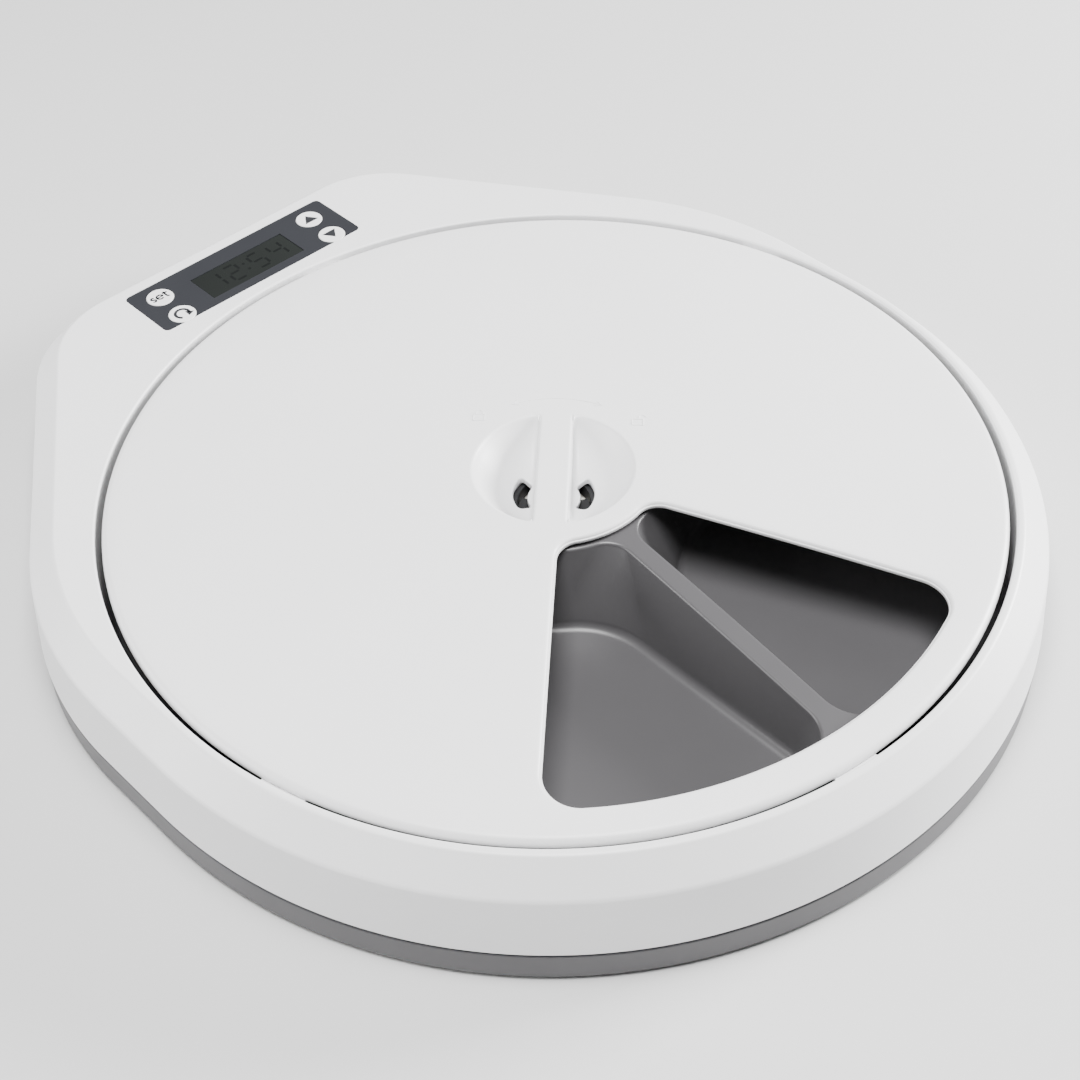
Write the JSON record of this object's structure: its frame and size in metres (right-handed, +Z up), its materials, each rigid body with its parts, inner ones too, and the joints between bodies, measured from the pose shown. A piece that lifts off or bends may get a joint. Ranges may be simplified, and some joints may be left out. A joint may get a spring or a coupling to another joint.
{
  "type": "automatic pet feeder",
  "caption": "Round pet feeder: a turning tray of food compartments under a lid with one wedge opening, in a white housing with a timer panel at the back.",
  "frame": {"origin": "where the tray's turning axis meets the table, on the underside of the centre foot", "axes": "+Z up along the tray's axis, +Y towards the control panel at the back, so the lid's opening faces -Y; +X to the right seen from the front"},
  "size_m": [0.3268, 0.3616, 0.05],
  "materials": {
    "white_abs": "satin white ABS",
    "base_grey": "satin mid-grey ABS",
    "tray_grey": "satin mid-grey food-grade plastic",
    "rubber": "matt black rubber",
    "steel": "zinc-plated steel",
    "dark_plastic": "matt dark plastic",
    "post_plastic": "matt dark acetal",
    "gear_plastic": "natural acetal",
    "cell_wrap": "printed shrink wrap",
    "magnet": "nickel plating",
    "circuit_board": "green solder mask",
    "overlay": "fine-textured dark film",
    "window": "smoked clear acrylic",
    "lcd": "dark display glass",
    "cable": "grey ribbon cable",
    "button_white": "satin white"
  },
  "bodies": {
    "root": {"upper_housing": "white_abs", "lower_base": "base_grey", "rubber_feet": "rubber", "housing_screws": "steel", "battery_box": "dark_plastic", "battery_cells": "cell_wrap", "battery_contacts": "steel", "gearbox_case": "dark_plastic", "gearbox_cover": "dark_plastic", "gearbox_screws": "steel", "centre_post": "post_plastic", "post_screw": "steel", "drive_motor": "steel", "reduction_axle": "steel", "index_sensor": "circuit_board", "panel_overlay": "overlay", "lcd_window": "window", "lcd_module": "lcd", "lcd_holder": "white_abs", "control_board": "circuit_board", "board_screws": "steel", "tact_switches": "dark_plastic", "ribbon_cable": "cable"},
    "tray": {"drive_hub": "gear_plastic", "food_tray": "tray_grey", "index_magnets": "magnet"},
    "reduction": {"reduction_gear": "gear_plastic"},
    "pinion": {"motor_shaft": "steel", "motor_pinion": "gear_plastic"},
    "lock": {"lock_ring": "post_plastic"},
    "lid": {"lid": "white_abs"},
    "door": {"battery_door": "base_grey"},
    "set_key": {"set_button": "button_white"},
    "feed_key": {"feed_button": "button_white"},
    "up_key": {"up_button": "button_white"},
    "down_key": {"down_button": "button_white"}
  },
  "joints": [
    {"name": "tray_spin", "type": "hinge", "parent": "root", "child": "tray", "pos_m": [0, 0, 0.02], "axis": [0, 0, 1], "continuous": true},
    {"name": "reduction_spin", "type": "hinge", "parent": "root", "child": "reduction", "pos_m": [0.0185, 0, 0.02], "axis": [0, 0, 1], "continuous": true},
    {"name": "pinion_spin", "type": "hinge", "parent": "root", "child": "pinion", "pos_m": [0.01552, 0.01007, 0.02], "axis": [0, 0, 1], "continuous": true},
    {"name": "lid_turn", "type": "hinge", "parent": "root", "child": "lock", "pos_m": [0, 0, 0.03], "axis": [0, 0, 1], "range_deg": [-45, 0]},
    {"name": "lid_lift", "type": "slide", "parent": "lock", "child": "lid", "axis": [0, 0, 1], "range_m": [0, 0.08]},
    {"name": "door_off", "type": "slide", "parent": "root", "child": "door", "axis": [0, 0, -1], "range_m": [0, 0.03]},
    {"name": "set_press", "type": "slide", "parent": "root", "child": "set_key", "axis": [0, 0, -1], "range_m": [0, 0.0005], "stiffness_N_per_m": 200, "springref_m": -0.0001},
    {"name": "feed_press", "type": "slide", "parent": "root", "child": "feed_key", "axis": [0, 0, -1], "range_m": [0, 0.0005], "stiffness_N_per_m": 200, "springref_m": -0.0001},
    {"name": "up_press", "type": "slide", "parent": "root", "child": "up_key", "axis": [0, 0, -1], "range_m": [0, 0.0005], "stiffness_N_per_m": 200, "springref_m": -0.0001},
    {"name": "down_press", "type": "slide", "parent": "root", "child": "down_key", "axis": [0, 0, -1], "range_m": [0, 0.0005], "stiffness_N_per_m": 200, "springref_m": -0.0001}
  ],
  "couplings": [
    {"joint": "reduction_spin", "follows": "tray_spin", "ratio": -6.4},
    {"joint": "pinion_spin", "follows": "tray_spin", "ratio": 20.48}
  ]
}
